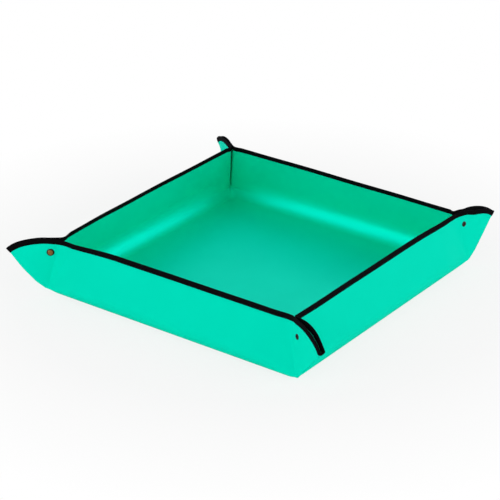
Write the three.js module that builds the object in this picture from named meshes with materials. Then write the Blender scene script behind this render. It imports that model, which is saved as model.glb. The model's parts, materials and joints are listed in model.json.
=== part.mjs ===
// A repotting mat: one square of coated cloth with rounded, bound corners, whose four sides stand up as
// a tray when each corner is pinched into a doubled ear and held by a snap fastener.
// Millimetres, +Z up. The origin is the middle of the floor's underside.
// Every panel is drawn flat, as cut, and then folded by turning its group about its crease.

import * as THREE from 'three';

// The sheet
const SHEET_SIDE = 680;
const CORNER_RADIUS = 91;
const CLOTH = 0.5;

// The folded tray
const RIM_SIDE = 460;
const WALL_LEAN = THREE.MathUtils.degToRad(18);
const BEND_RADIUS = 26;
const BEND_TAPER = 70;

// How far each ear swings from its corner's diagonal, counter-clockwise seen from above
const EAR_TURN = {
  front_left: THREE.MathUtils.degToRad(-6),
  front_right: THREE.MathUtils.degToRad(21),
  back_right: THREE.MathUtils.degToRad(32),
  back_left: THREE.MathUtils.degToRad(10),
};

// The edge binding, a tape folded over the edge
const BINDING_WIDTH = 8.5;
const TAPE = 0.5;

// The snap fasteners
const SNAP_DOWN = 30;
const SNAP_OUT = 8;
const CAP_RADIUS = 6.25;
const CAP_HEIGHT = 2.2;
const CAP_LIP = 0.7;
const POST_RADIUS = 2.2;
const CLINCH_HEIGHT = 0.3;
const SOCKET_RING = 1.9;
const SOCKET_HEIGHT = 1.5;
const SOCKET_ROUNDING = 0.4;
const STUD_WALL = 0.6;
const STUD_FLANGE = 1.5;
const STUD_FLANGE_HEIGHT = 0.4;
const STUD_BALL_HEIGHT = 1.3;
const STUD_NECK = 0.35;
const EYELET_RING = 2.4;
const EYELET_HEIGHT = 0.9;
const EYELET_LIP = 0.3;
const EYELET_WALL = 0.7;

// Clearances
const FIT = 0.3;
const STUD_CLEARANCE = 0.6;
const CLINCH_CLEARANCE = 0.4;
const CREASE_SETBACK = 0.3;
const EAR_FOOT = 1;

// Smoothness
const BEND_STEPS = 4;
const TAPER_STEPS = 5;
const RIM_STEPS = 2;
const CORNER_STEPS = 10;
const ROUND_SEGMENTS = 16;
const DOME_STEPS = 4;

const QUARTER_TURN = Math.PI / 2;
const HALF_CLOTH = CLOTH / 2;

// The fold, worked out in the cross-section of a wall. The crease between floor and wall is the middle of
// their soft bend, so it lies inside and above the corner that a sharp fold would have.
const wallFold = QUARTER_TURN + WALL_LEAN;
const bendDepth = BEND_RADIUS * (1 / Math.cos(wallFold / 2) - 1);
const creaseInset = bendDepth * Math.sin(wallFold / 2);
const creaseRise = bendDepth * Math.cos(wallFold / 2);
const bendReach = BEND_RADIUS * Math.tan(wallFold / 2);
const rimHalf = RIM_SIDE / 2;
const sheetHalf = SHEET_SIDE / 2;
const rimHeight = heightOfRim();
const sharpHalf = rimHalf + rimHeight * Math.tan(WALL_LEAN);
const creaseHalf = sharpHalf - creaseInset;
const wallDepth = sheetHalf - creaseHalf;
const wallRise = Math.atan2(rimHeight - creaseRise, rimHalf - creaseHalf);
const wallBow = wallFold - wallRise;

// The pinch line runs from the floor's corner up to the rim. An ear turns about it.
const pinchRun = creaseHalf - rimHalf;
const pinchLength = Math.hypot(pinchRun, wallDepth);
const earFold = Math.acos((rimHeight - creaseRise) / (Math.SQRT2 * wallDepth));
const cornerRadius = Math.min(CORNER_RADIUS, wallDepth);

// The snap's pieces fit round the post and into each other, and set how far apart the ear's layers lie.
const postHole = POST_RADIUS + FIT;
const eyeletHole = POST_RADIUS - EYELET_WALL;
const eyeletRadius = POST_RADIUS + EYELET_RING;
const studBall = postHole + STUD_WALL;
const studFlange = studBall + STUD_FLANGE;
const socketBore = studBall + STUD_CLEARANCE;
const socketRadius = socketBore + SOCKET_RING;
const clinchRadius = socketBore - CLINCH_CLEARANCE;
const layerPitch = CLOTH + 2 * FIT + SOCKET_HEIGHT + STUD_FLANGE_HEIGHT + STUD_CLEARANCE;

const bindingSlot = HALF_CLOTH + FIT;
const bindingFace = bindingSlot + TAPE;
const creaseSetback = foldSetback(HALF_CLOTH, wallFold);

const clothMaterial = new THREE.MeshStandardMaterial({ color: '#01d2b0', roughness: 0.45, metalness: 0 });
const bindingMaterial = new THREE.MeshStandardMaterial({ color: '#161415', roughness: 0.85, metalness: 0 });
const brassMaterial = new THREE.MeshStandardMaterial({ color: '#9a6a3c', roughness: 0.35, metalness: 1 });

// The rim's height for which floor, bend and wall together use up half the sheet.
function heightOfRim() {
  const slope = Math.tan(WALL_LEAN);
  const spare = sheetHalf - rimHalf + creaseInset;
  const pull = slope * (spare - creaseInset) - creaseRise;
  return Math.sqrt(pull ** 2 + spare ** 2 - creaseInset ** 2 - creaseRise ** 2) - pull;
}

// How far two pieces stop short of the line that they fold about, for their faces to clear.
function foldSetback(halfThickness, fold) {
  return halfThickness * Math.tan(fold / 2) + FIT / 2;
}

function smoothRise(share) {
  const s = THREE.MathUtils.clamp(share, 0, 1);
  return s * s * (3 - 2 * s);
}

// A closed geometry from points and faces, with its faces pointing out.
function closedGeometry(points, faces) {
  const geometry = new THREE.BufferGeometry();
  const volume = faces.reduce((sum, [a, b, c]) => {
    return sum + points[a].dot(new THREE.Vector3().crossVectors(points[b], points[c]));
  }, 0);
  const outward = volume > 0 ? faces : faces.map(([a, b, c]) => [a, c, b]);
  geometry.setAttribute('position', new THREE.Float32BufferAttribute(points.flatMap((p) => p.toArray()), 3));
  geometry.setIndex(outward.flat());
  geometry.computeVertexNormals();
  return geometry;
}

function quad(a, b, c, d) {
  return [[a, b, c], [a, c, d]];
}

// A cloth panel: a grid of points on its middle surface, thickened to both sides.
function clothGeometry(rows) {
  const rowCount = rows.length;
  const columnCount = rows[0].length;
  const normalAt = (i, j) => {
    const along = rows[i][Math.min(j + 1, columnCount - 1)].clone().sub(rows[i][Math.max(j - 1, 0)]);
    const across = rows[Math.min(i + 1, rowCount - 1)][j].clone().sub(rows[Math.max(i - 1, 0)][j]);
    return along.cross(across).normalize();
  };
  const shifted = (distance) => rows.flatMap((row, i) => {
    return row.map((p, j) => p.clone().addScaledVector(normalAt(i, j), distance));
  });
  const points = [...shifted(HALF_CLOTH), ...shifted(-HALF_CLOTH)];
  const top = (i, j) => i * columnCount + j;
  const under = (i, j) => top(i, j) + rowCount * columnCount;
  const faces = [];
  for (let i = 0; i + 1 < rowCount; i += 1) {
    for (let j = 0; j + 1 < columnCount; j += 1) {
      faces.push(...quad(top(i, j), top(i, j + 1), top(i + 1, j + 1), top(i + 1, j)));
      faces.push(...quad(under(i, j), under(i + 1, j), under(i + 1, j + 1), under(i, j + 1)));
    }
    const last = columnCount - 1;
    faces.push(...quad(top(i, 0), top(i + 1, 0), under(i + 1, 0), under(i, 0)));
    faces.push(...quad(top(i, last), under(i, last), under(i + 1, last), top(i + 1, last)));
  }
  for (let j = 0; j + 1 < columnCount; j += 1) {
    const last = rowCount - 1;
    faces.push(...quad(top(0, j), under(0, j), under(0, j + 1), top(0, j + 1)));
    faces.push(...quad(top(last, j), top(last, j + 1), under(last, j + 1), under(last, j)));
  }
  return closedGeometry(points, faces);
}

// The binding's section: x runs in from the cloth's edge, y across its thickness.
function bindingSection() {
  const back = -FIT - TAPE;
  const hem = back + BINDING_WIDTH;
  return [
    [back, -bindingFace], [hem, -bindingFace], [hem, -bindingSlot], [-FIT, -bindingSlot],
    [-FIT, bindingSlot], [hem, bindingSlot], [hem, bindingFace], [back, bindingFace],
  ].map(([x, y]) => new THREE.Vector2(x, y));
}

// A binding, lofted through stations along an edge: each has its place and its directions in and across.
function bindingGeometry(stations) {
  const section = bindingSection();
  const size = section.length;
  const points = stations.flatMap(({ edge, inward, across }) => {
    return section.map((s) => edge.clone().addScaledVector(inward, s.x).addScaledVector(across, s.y));
  });
  const faces = [];
  for (let i = 0; i + 1 < stations.length; i += 1) {
    for (let j = 0; j < size; j += 1) {
      const next = (j + 1) % size;
      faces.push(...quad(i * size + j, i * size + next, (i + 1) * size + next, (i + 1) * size + j));
    }
  }
  const start = THREE.ShapeUtils.triangulateShape(section, []);
  const end = (stations.length - 1) * size;
  faces.push(...start.map(([a, b, c]) => [a, c, b]));
  faces.push(...start.map(([a, b, c]) => [a + end, b + end, c + end]));
  return closedGeometry(points, faces);
}

// The floor's upturned edge: its height at a distance in from the crease.
function floorRise(distance) {
  const run = Math.max(bendReach - creaseInset - distance, 0);
  return BEND_RADIUS - Math.sqrt(BEND_RADIUS ** 2 - run ** 2);
}

function floorPanel() {
  const places = [];
  for (let i = 0; i <= BEND_STEPS; i += 1) {
    const angle = (wallFold / 2) * (1 - i / BEND_STEPS);
    places.push(sharpHalf - bendReach + BEND_RADIUS * Math.sin(angle) - (i === 0 ? creaseSetback : 0));
  }
  const lines = [...places.map((x) => -x), ...places.reverse()];
  const rows = lines.map((y) => lines.map((x) => {
    const riseX = floorRise(creaseHalf - Math.abs(x));
    const riseY = floorRise(creaseHalf - Math.abs(y));
    return new THREE.Vector3(x, y, HALF_CLOTH + riseX + riseY - riseX * riseY / creaseRise);
  }));
  return namedMesh('floor_panel', clothGeometry(rows), clothMaterial);
}

function namedMesh(name, geometry, material) {
  const mesh = new THREE.Mesh(geometry, material);
  mesh.name = name;
  return mesh;
}

// How far a wall's end, at a depth up from the crease, lies from the wall's middle.
function wallEnd(depth, spread) {
  return creaseHalf - spread - pinchRun * depth / wallDepth;
}

// The places across a wall, from -1 at its left end to 1 at its right, closer where the bend tapers out.
function wallColumns() {
  const shares = [];
  for (let i = 0; i <= TAPER_STEPS; i += 1) {
    shares.push(1 - (BEND_TAPER / rimHalf) * (i / TAPER_STEPS));
  }
  return [...shares.map((s) => -s), ...shares.reverse()];
}

// Where a column of cloth or binding stands at a depth. Each end of the wall is set in by its own fold.
function columnPlace(share, depth, ends, halfThickness) {
  const { spread, fold } = share < 0 ? ends.left : ends.right;
  return share * (wallEnd(depth, spread) - foldSetback(halfThickness, fold));
}

function bendShare(share) {
  return smoothRise((1 - Math.abs(share)) * rimHalf / BEND_TAPER);
}

// A wall's cross-section as depth up its chord and bow out from it: the bend's upper half, then straight.
function wallProfile() {
  const profile = [];
  for (let i = 0; i <= BEND_STEPS; i += 1) {
    const setback = i === 0 ? creaseSetback / BEND_RADIUS : 0;
    const angle = (wallFold / 2) * (1 + i / BEND_STEPS) + setback;
    const out = sharpHalf - bendReach + BEND_RADIUS * Math.sin(angle) - creaseHalf;
    const up = BEND_RADIUS * (1 - Math.cos(angle)) - creaseRise;
    profile.push({
      depth: out * Math.cos(wallRise) + up * Math.sin(wallRise),
      bow: out * Math.sin(wallRise) - up * Math.cos(wallRise),
    });
  }
  const bendEnd = profile[BEND_STEPS];
  for (let i = 1; i <= RIM_STEPS; i += 1) {
    const share = i / RIM_STEPS;
    profile.push({
      depth: THREE.MathUtils.lerp(bendEnd.depth, wallDepth, share),
      bow: THREE.MathUtils.lerp(bendEnd.bow, 0, share),
    });
  }
  return profile;
}

function wallPanel(name, ends) {
  const rows = wallProfile().map(({ depth, bow }) => wallColumns().map((share) => {
    return new THREE.Vector3(columnPlace(share, depth, ends, HALF_CLOTH), -depth, -bow * bendShare(share));
  }));
  return namedMesh(`${name}_wall`, clothGeometry(rows), clothMaterial);
}

function rimBinding(name, ends) {
  const stations = wallColumns().map((share) => {
    const tilt = Math.atan(Math.tan(wallBow) * bendShare(share));
    return {
      edge: new THREE.Vector3(columnPlace(share, wallDepth, ends, bindingFace), -wallDepth, 0),
      inward: new THREE.Vector3(share * pinchRun / wallDepth, Math.cos(tilt), -Math.sin(tilt)),
      across: new THREE.Vector3(0, Math.sin(tilt), Math.cos(tilt)),
    };
  });
  return namedMesh(`${name}_rim_binding`, bindingGeometry(stations), bindingMaterial);
}

// An ear half's flat outline, measured from the lower end of its pinch line, for the right end of a wall.
// Laid flat, its crease runs along the sheet's diagonal.
function earLayout(spread) {
  const creaseRun = Math.cos(wallBow);
  const creaseAngle = Math.atan2(1, creaseRun);
  const depth = wallDepth - cornerRadius;
  return {
    pinch: new THREE.Vector2(-pinchRun, -wallDepth),
    up: new THREE.Vector2(-pinchRun, -wallDepth).divideScalar(pinchLength),
    out: new THREE.Vector2(wallDepth, -pinchRun).divideScalar(pinchLength),
    along: new THREE.Vector2(Math.cos(creaseAngle), -Math.sin(creaseAngle)),
    centre: new THREE.Vector2(spread + depth * creaseRun, -depth),
    creaseAngle,
    creaseRun,
    spread,
  };
}

// The direction from the rounded corner's centre out to the cloth's edge.
function cornerRay(angle) {
  return new THREE.Vector2(Math.cos(angle), -Math.sin(angle));
}

function snapPlace({ pinch, up, out, spread }, fold) {
  const reach = SNAP_OUT + spread * Math.cos(fold);
  return pinch.clone().addScaledVector(up, -SNAP_DOWN).addScaledVector(out, reach);
}

function earPanel(name, layout, fold, side) {
  const { pinch, out, along, centre, creaseAngle, creaseRun, spread } = layout;
  const setIn = new THREE.Vector2(along.y, -along.x).multiplyScalar(CREASE_SETBACK);
  const setback = foldSetback(HALF_CLOTH, fold);
  const top = pinch.clone().addScaledVector(out, setback);
  const shape = new THREE.Shape();
  const mirrored = (p) => [side * p.x, p.y];
  shape.moveTo(side * (setback - pinchRun * EAR_FOOT / wallDepth), -EAR_FOOT);
  shape.lineTo(...mirrored(top));
  const arcPoint = (angle) => cornerRay(angle).multiplyScalar(cornerRadius).add(centre);
  for (let i = 0; i < CORNER_STEPS; i += 1) {
    const angle = THREE.MathUtils.lerp(QUARTER_TURN, creaseAngle, i / CORNER_STEPS);
    shape.lineTo(...mirrored(arcPoint(angle)));
  }
  shape.lineTo(...mirrored(arcPoint(creaseAngle).add(setIn)));
  shape.lineTo(side * (spread + EAR_FOOT * creaseRun + setIn.x), -EAR_FOOT);
  const hole = new THREE.Path();
  hole.absarc(...mirrored(snapPlace(layout, fold)), postHole, 0, 2 * Math.PI, side > 0);
  shape.holes.push(hole);
  const geometry = new THREE.ExtrudeGeometry(shape, {
    depth: CLOTH, bevelEnabled: false, curveSegments: ROUND_SEGMENTS,
  });
  geometry.translate(0, 0, -HALF_CLOTH);
  return namedMesh(name, geometry, clothMaterial);
}

function earBinding(name, layout, fold, side) {
  const { pinch, up, out, centre, creaseAngle } = layout;
  const across = new THREE.Vector3(0, 0, 1);
  const station = (edge, inward) => ({
    edge: new THREE.Vector3(side * edge.x, edge.y, 0),
    inward: new THREE.Vector3(side * inward.x, inward.y, 0),
    across,
  });
  const skew = up.clone().multiplyScalar(-pinchLength / wallDepth);
  const start = pinch.clone().addScaledVector(out, foldSetback(bindingFace, fold));
  const stations = [station(start, skew)];
  const lastAngle = creaseAngle + CREASE_SETBACK / cornerRadius;
  for (let i = 0; i <= CORNER_STEPS; i += 1) {
    const ray = cornerRay(THREE.MathUtils.lerp(QUARTER_TURN, lastAngle, i / CORNER_STEPS));
    stations.push(station(centre.clone().addScaledVector(ray, cornerRadius), ray.clone().negate()));
  }
  return namedMesh(`${name}_binding`, bindingGeometry(stations), bindingMaterial);
}

// A turned piece, about its own Z axis, from an outline of radius and height.
function turned(outline) {
  const points = outline.map(([radius, height]) => new THREE.Vector2(radius, height));
  const geometry = new THREE.LatheGeometry(points, ROUND_SEGMENTS);
  geometry.rotateX(QUARTER_TURN);
  return geometry;
}

// The cap's dome, its post through the cloth and the post's clinched end, from the dome's top inwards.
function capGeometry() {
  const seat = -HALF_CLOTH - FIT;
  const lipTop = seat - CAP_LIP;
  const crown = CAP_HEIGHT - CAP_LIP;
  const dome = [];
  for (let i = 0; i <= DOME_STEPS; i += 1) {
    const angle = QUARTER_TURN * (i / DOME_STEPS);
    const radius = i === 0 ? 0 : CAP_RADIUS * Math.sin(angle);
    dome.push([radius, lipTop - crown * Math.cos(angle)]);
  }
  const clinch = HALF_CLOTH + FIT;
  return turned([
    ...dome, [CAP_RADIUS, seat], [POST_RADIUS, seat], [POST_RADIUS, clinch],
    [clinchRadius, clinch], [clinchRadius, clinch + CLINCH_HEIGHT], [0, clinch + CLINCH_HEIGHT],
  ]);
}

function socketGeometry() {
  const seat = HALF_CLOTH + FIT;
  const mouth = seat + SOCKET_HEIGHT;
  return turned([
    [socketBore, seat], [socketRadius, seat], [socketRadius, mouth - SOCKET_ROUNDING],
    [socketRadius - SOCKET_ROUNDING, mouth], [socketBore, mouth], [socketBore, seat],
  ]);
}

function studGeometry() {
  const seat = HALF_CLOTH + FIT;
  const flange = seat + STUD_FLANGE_HEIGHT;
  const tip = flange + STUD_BALL_HEIGHT;
  return turned([
    [postHole, seat], [studFlange, seat], [studFlange, flange],
    [studBall - STUD_NECK, flange], [studBall, (flange + tip) / 2],
    [studBall - STUD_NECK, tip], [postHole, tip], [postHole, seat],
  ]);
}

// The eyelet's ring outside the cloth and its barrel through cloth and stud.
function eyeletGeometry() {
  const seat = -HALF_CLOTH - FIT;
  const face = seat - EYELET_HEIGHT;
  const end = HALF_CLOTH + FIT + STUD_FLANGE_HEIGHT;
  const shoulder = (eyeletRadius + eyeletHole) / 2;
  return turned([
    [eyeletHole, end], [eyeletHole, (seat + face) / 2], [shoulder, face],
    [eyeletRadius, seat - EYELET_LIP], [eyeletRadius, seat], [POST_RADIUS, seat],
    [POST_RADIUS, end], [eyeletHole, end],
  ]);
}

function snapHalf(corner, place, pieces) {
  const group = new THREE.Group();
  group.position.set(place.x, place.y, 0);
  pieces.forEach(([piece, geometry]) => {
    group.add(namedMesh(`${corner}_snap_${piece}`, geometry, brassMaterial));
  });
  return group;
}

// One layer of an ear, folded out about its pinch line. The left end of a wall carries the snap's cap and
// socket, its right end the stud and eyelet that meet them from the next wall.
function earHalf(wall, end, corner, { fold, spread }) {
  const side = end === 'left' ? -1 : 1;
  const name = `${wall}_wall_${end}_ear`;
  const layout = earLayout(spread);
  const place = snapPlace(layout, fold);
  const pieces = end === 'left'
    ? [['cap', capGeometry()], ['socket', socketGeometry()]]
    : [['stud', studGeometry()], ['eyelet', eyeletGeometry()]];
  const group = new THREE.Group();
  group.position.set(side * (creaseHalf - spread), 0, 0);
  group.quaternion.setFromAxisAngle(new THREE.Vector3(side * layout.up.x, layout.up.y, 0), -side * fold);
  group.add(earPanel(name, layout, fold, side));
  group.add(earBinding(name, layout, fold, side));
  group.add(snapHalf(corner, new THREE.Vector2(side * place.x, place.y), pieces));
  return group;
}

// The two layers of a corner's ear: how far each folds, and how far its pinch line is set in along its
// wall so that the layers lie apart by the snap's thickness.
function cornerFolds(corner) {
  const right = earFold - EAR_TURN[corner];
  const left = earFold + EAR_TURN[corner];
  return { left, right, spread: layerPitch / (Math.sin(left) + Math.sin(right)) };
}

function raisedSide(wall, leftCorner, rightCorner) {
  const left = cornerFolds(leftCorner);
  const right = cornerFolds(rightCorner);
  const ends = {
    left: { fold: left.left, spread: left.spread },
    right: { fold: right.right, spread: right.spread },
  };
  const group = new THREE.Group();
  group.position.set(0, -creaseHalf, creaseRise + HALF_CLOTH);
  group.rotation.x = -wallRise;
  group.add(wallPanel(wall, ends));
  group.add(rimBinding(wall, ends));
  group.add(earHalf(wall, 'left', leftCorner, ends.left));
  group.add(earHalf(wall, 'right', rightCorner, ends.right));
  return group;
}

function repottingMat() {
  const walls = ['front', 'right', 'back', 'left'];
  const corners = ['front_left', 'front_right', 'back_right', 'back_left'];
  const mat = new THREE.Group();
  mat.name = 'repotting_mat';
  mat.add(floorPanel());
  walls.forEach((wall, i) => {
    const turn = new THREE.Group();
    turn.rotation.z = i * QUARTER_TURN;
    turn.add(raisedSide(wall, corners[i], corners[(i + 1) % corners.length]));
    mat.add(turn);
  });
  return mat;
}

export default repottingMat();
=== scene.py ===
"""A repotting mat of coated cloth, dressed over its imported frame.

The sheet's flat pattern is repeated here in metres. Each panel of cloth is a map from its flat cut to the
folded mat, and the binding and its stitches follow the same map, so that they bend with the cloth.
"""

import json
import logging
import math
from dataclasses import dataclass
from enum import Enum
from typing import Any, Iterable, Sequence

import bpy
import numpy as np
from mathutils import Matrix, Vector

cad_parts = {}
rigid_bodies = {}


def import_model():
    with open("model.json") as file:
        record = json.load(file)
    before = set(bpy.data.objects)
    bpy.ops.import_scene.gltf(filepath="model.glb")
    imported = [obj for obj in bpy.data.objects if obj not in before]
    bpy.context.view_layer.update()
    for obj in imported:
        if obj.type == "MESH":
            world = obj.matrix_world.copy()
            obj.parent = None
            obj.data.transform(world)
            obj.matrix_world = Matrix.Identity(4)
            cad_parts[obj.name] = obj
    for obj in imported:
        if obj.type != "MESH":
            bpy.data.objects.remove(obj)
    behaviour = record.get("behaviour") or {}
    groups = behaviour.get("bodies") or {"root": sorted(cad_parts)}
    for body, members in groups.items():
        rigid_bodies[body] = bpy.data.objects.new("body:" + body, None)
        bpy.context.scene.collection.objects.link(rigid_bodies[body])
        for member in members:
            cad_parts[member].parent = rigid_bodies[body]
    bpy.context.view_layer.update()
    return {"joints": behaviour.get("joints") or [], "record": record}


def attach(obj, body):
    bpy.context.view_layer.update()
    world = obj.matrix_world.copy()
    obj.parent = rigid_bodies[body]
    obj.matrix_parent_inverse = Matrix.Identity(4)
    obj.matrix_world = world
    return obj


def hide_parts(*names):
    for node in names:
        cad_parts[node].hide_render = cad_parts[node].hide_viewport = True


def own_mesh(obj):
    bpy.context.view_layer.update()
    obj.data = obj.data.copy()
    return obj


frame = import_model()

LOG = logging.getLogger("repotting_mat")
FLAT_MAP = "flat_cut"
CORNERS = ("front_left", "front_right", "back_right", "back_left")

Array = np.ndarray
Pair = tuple[float, float]
Piece = bpy.types.Object
Material = bpy.types.Material
Tree = bpy.types.NodeTree
Node = bpy.types.Node
Socket = bpy.types.NodeSocket


class Wall(Enum):
    """The raised sides, by how many quarter turns each stands from the front."""

    FRONT = 0
    RIGHT = 1
    BACK = 2
    LEFT = 3

    @property
    def label(self) -> str:
        """The wall's name as the frame spells it."""
        return self.name.lower()

    @property
    def turn(self) -> Array:
        """The turn from the front wall to this one, as a 3x3 array."""
        return np.array(Matrix.Rotation(self.value * math.pi / 2, 3, "Z"))


class End(Enum):
    """A wall's ends, seen from outside, with the direction that each lies in."""

    LEFT = -1
    RIGHT = 1

    @property
    def label(self) -> str:
        """The end's name as the frame spells it."""
        return self.name.lower()

    def of(self, pair: Pair) -> float:
        """This end's value of a pair for left and right."""
        return pair[self is End.RIGHT]


def corner_at(wall: Wall, end: End) -> str:
    """The name of the corner at a wall's end."""
    return CORNERS[(wall.value + (end is End.RIGHT)) % len(CORNERS)]


def smooth(share: Array) -> Array:
    """A soft step from 0 to 1 as share goes from 0 to 1."""
    s = np.clip(share, 0.0, 1.0)
    return s * s * (3.0 - 2.0 * s)


def unit(vectors: Array) -> Array:
    """Vectors at a length of 1."""
    return vectors / np.linalg.norm(vectors, axis=-1, keepdims=True)


def run_along(points: Array) -> Array:
    """The length from the first point to each, along the line through them."""
    return np.concatenate([[0.0], np.cumsum(np.linalg.norm(np.diff(points, axis=0), axis=1))])


def graded(length: float, fine: float, growth: float, coarse: float) -> Array:
    """Places along a length, close together at its start and further apart on the way.

    Args:
        length: Where the places end.
        fine: The first step, shorter than the length.
        growth: How much each step grows.
        coarse: The longest step.

    Returns:
        Places from 0 to length.
    """
    places, step = [0.0], fine
    while places[-1] + step < length:
        places.append(places[-1] + step)
        step = min(step * growth, coarse)
    return np.array(places) * (length / places[-1])


def graded_both(half: float, fine: float, growth: float, coarse: float) -> Array:
    """Places from -half to half, close together at both ends."""
    places = half - graded(half, fine, growth, coarse)
    return np.concatenate([-places, places[::-1][1:]])


def direction(azimuth: float, elevation: float) -> Vector:
    """The way from the mat to a lamp or camera, by degrees round from the front and up."""
    a, e = math.radians(azimuth), math.radians(elevation)
    return Vector((math.sin(a) * math.cos(e), -math.cos(a) * math.cos(e), math.sin(e)))


def linear_colour(hex_value: str) -> tuple[float, float, float, float]:
    """Turns an sRGB hex colour to linear.

    Args:
        hex_value: Six hex digits after a number sign.

    Returns:
        Red, green, blue and an alpha of 1.
    """
    parts = [int(hex_value[i : i + 2], 16) / 255 for i in (1, 3, 5)]
    curve = [c / 12.92 if c <= 0.04045 else ((c + 0.055) / 1.055) ** 2.4 for c in parts]
    return (*curve, 1.0)


def feed(tree: Tree, node: Node, inputs: dict[str | int, Any]) -> None:
    """Sets a node's sockets.

    Args:
        tree: The node's tree.
        node: The node.
        inputs: Socket name or number to a value, or to the output that feeds it.
    """
    for key, value in inputs.items():
        if isinstance(value, Socket):
            tree.links.new(value, node.inputs[key])
        else:
            node.inputs[key].default_value = value


def add_node(
    tree: Tree, kind: str, inputs: dict[str | int, Any], out: str | int = 0, **settings: Any
) -> Socket:
    """Adds a shader node with its settings and links.

    Args:
        tree: The tree that gets the node.
        kind: The node's Blender type name, after ShaderNode.
        inputs: What its sockets get.
        out: The output that is wanted.
        settings: Properties of the node.

    Returns:
        That output.
    """
    node = tree.nodes.new(f"ShaderNode{kind}")
    for key, value in settings.items():
        setattr(node, key, value)
    feed(tree, node, inputs)
    return node.outputs[out]


def new_material(name: str) -> tuple[Material, Tree, Node]:
    """Makes a node material.

    Args:
        name: The material's name.

    Returns:
        The material, its tree and its Principled shader.
    """
    material = bpy.data.materials.new(name)
    material.use_nodes = True
    tree = material.node_tree
    return material, tree, tree.nodes["Principled BSDF"]


def add_patches(
    tree: Tree, place: Socket, size: float, detail: float, colours: tuple[str, str]
) -> tuple[Socket, Socket]:
    """Mixes two colours in soft patches.

    Args:
        tree: The material's tree.
        place: The coordinates that the patches lie on.
        size: A patch's size in metres.
        detail: How many finer layers fray it.
        colours: The two colours in hex.

    Returns:
        The second colour's share, and the mixed colour.
    """
    share = add_node(tree, "TexNoise", {"Vector": place, "Scale": 1 / size, "Detail": detail})
    first, second = (linear_colour(c) for c in colours)
    return share, add_node(tree, "Mix", {"Factor": share, 6: first, 7: second}, 2, data_type="RGBA")


def wave_scale(length: float) -> float:
    """The wave texture's scale for one wave per length: it repeats every 2 pi / 20 of its input."""
    return 2 * math.pi / (20 * length)


@dataclass(frozen=True)
class CoatedCloth:
    """Polyester cloth with a smooth waterproof coating: an even, saturated colour and a soft gloss.

    The weave shows through the coating as a faint grid, and the gloss wanders where the coating is thin.
    """

    name: str = "pvc_coated_polyester_cloth"
    colours: tuple[str, str] = ("#00DCB6", "#00D7AF")
    gleam: str = "#00FFFA"
    # The pigment in the coating tints its gloss, as a metal does, and hardly any white lies over it.
    pearl: float = 0.24
    shine: float = 0.02
    roughness: Pair = (0.40, 0.48)
    relief: float = 0.25
    thread_rise: float = 0.00008
    # A real thread of the weave is about 0.4 mm. It is drawn three times as coarse, so that it shows.
    thread: float = 0.0012
    patch: float = 0.055

    def material(self) -> Material:
        """Builds the finish.

        Returns:
            The material.
        """
        material, tree, shader = new_material(self.name)
        flat = add_node(tree, "UVMap", {}, uv_map=FLAT_MAP)
        patches, tint = add_patches(tree, flat, self.patch, 3.0, self.colours)
        low, high = self.roughness
        gloss = add_node(tree, "MapRange", {"Value": patches, "To Min": low, "To Max": high})
        threads = {"Vector": flat, "Scale": wave_scale(self.thread)}
        warp, weft = (add_node(tree, "TexWave", threads, "Fac", bands_direction=way) for way in "XY")
        weave = add_node(tree, "Math", {0: warp, 1: weft}, operation="MULTIPLY")
        relief = {"Height": weave, "Strength": self.relief, "Distance": self.thread_rise}
        sockets = {
            "Base Color": tint,
            "Roughness": gloss,
            "Normal": add_node(tree, "Bump", relief),
            "Metallic": self.pearl,
            "Specular IOR Level": self.shine,
            "Specular Tint": linear_colour(self.gleam),
        }
        feed(tree, shader, sockets)
        return material


# The sheet's uncoated back: the same dyed polyester, matt and a little more open in its weave.
CLOTH_BACK = CoatedCloth(
    name="dyed_polyester_cloth_back",
    colours=("#00E0BE", "#00DCB9"),
    pearl=0.0,
    roughness=(0.62, 0.72),
    relief=0.4,
)


@dataclass(frozen=True)
class BindingTape:
    """Black woven polyester tape: matte, with fine ribs across it and a little fuzz at grazing angles."""

    name: str = "woven_polyester_tape"
    colours: tuple[str, str] = ("#060506", "#0E0C0D")
    rib: float = 0.0009
    rib_rise: float = 0.00015
    patch: float = 0.02

    def material(self) -> Material:
        """Builds the finish.

        Returns:
            The material.
        """
        material, tree, shader = new_material(self.name)
        flat = add_node(tree, "UVMap", {}, uv_map=FLAT_MAP)
        _, tint = add_patches(tree, flat, self.patch, 5.0, self.colours)
        across = {"Vector": flat, "Scale": wave_scale(self.rib)}
        ribs = add_node(tree, "TexWave", across, "Fac", bands_direction="X")
        sockets = {
            "Base Color": tint,
            "Normal": add_node(tree, "Bump", {"Height": ribs, "Strength": 0.5, "Distance": self.rib_rise}),
            "Roughness": 0.78,
            "Specular IOR Level": 0.01,
            "Sheen Weight": 0.003,
            "Sheen Roughness": 0.5,
        }
        feed(tree, shader, sockets)
        return material


@dataclass(frozen=True)
class SewingThread:
    """Twisted polyester thread in the binding's black: slightly glossier than the tape, with the twist's
    light and shade painted in bands.
    """

    name: str = "polyester_sewing_thread"
    colours: tuple[str, str] = ("#0C0B0B", "#1B191A")
    ply: float = 0.0007

    def material(self) -> Material:
        """Builds the finish.

        Returns:
            The material.
        """
        material, tree, shader = new_material(self.name)
        flat = add_node(tree, "UVMap", {}, uv_map=FLAT_MAP)
        along = {"Vector": flat, "Scale": wave_scale(self.ply)}
        # The twist is painted as light and shade: diagonal bands that go from a shaded to a bright black.
        twist_shading = add_node(tree, "TexWave", along, "Fac", bands_direction="DIAGONAL")
        shaded, bright = (linear_colour(c) for c in self.colours)
        tint = add_node(tree, "Mix", {"Factor": twist_shading, 6: shaded, 7: bright}, 2, data_type="RGBA")
        feed(tree, shader, {"Base Color": tint, "Roughness": 0.5})
        return material


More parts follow.
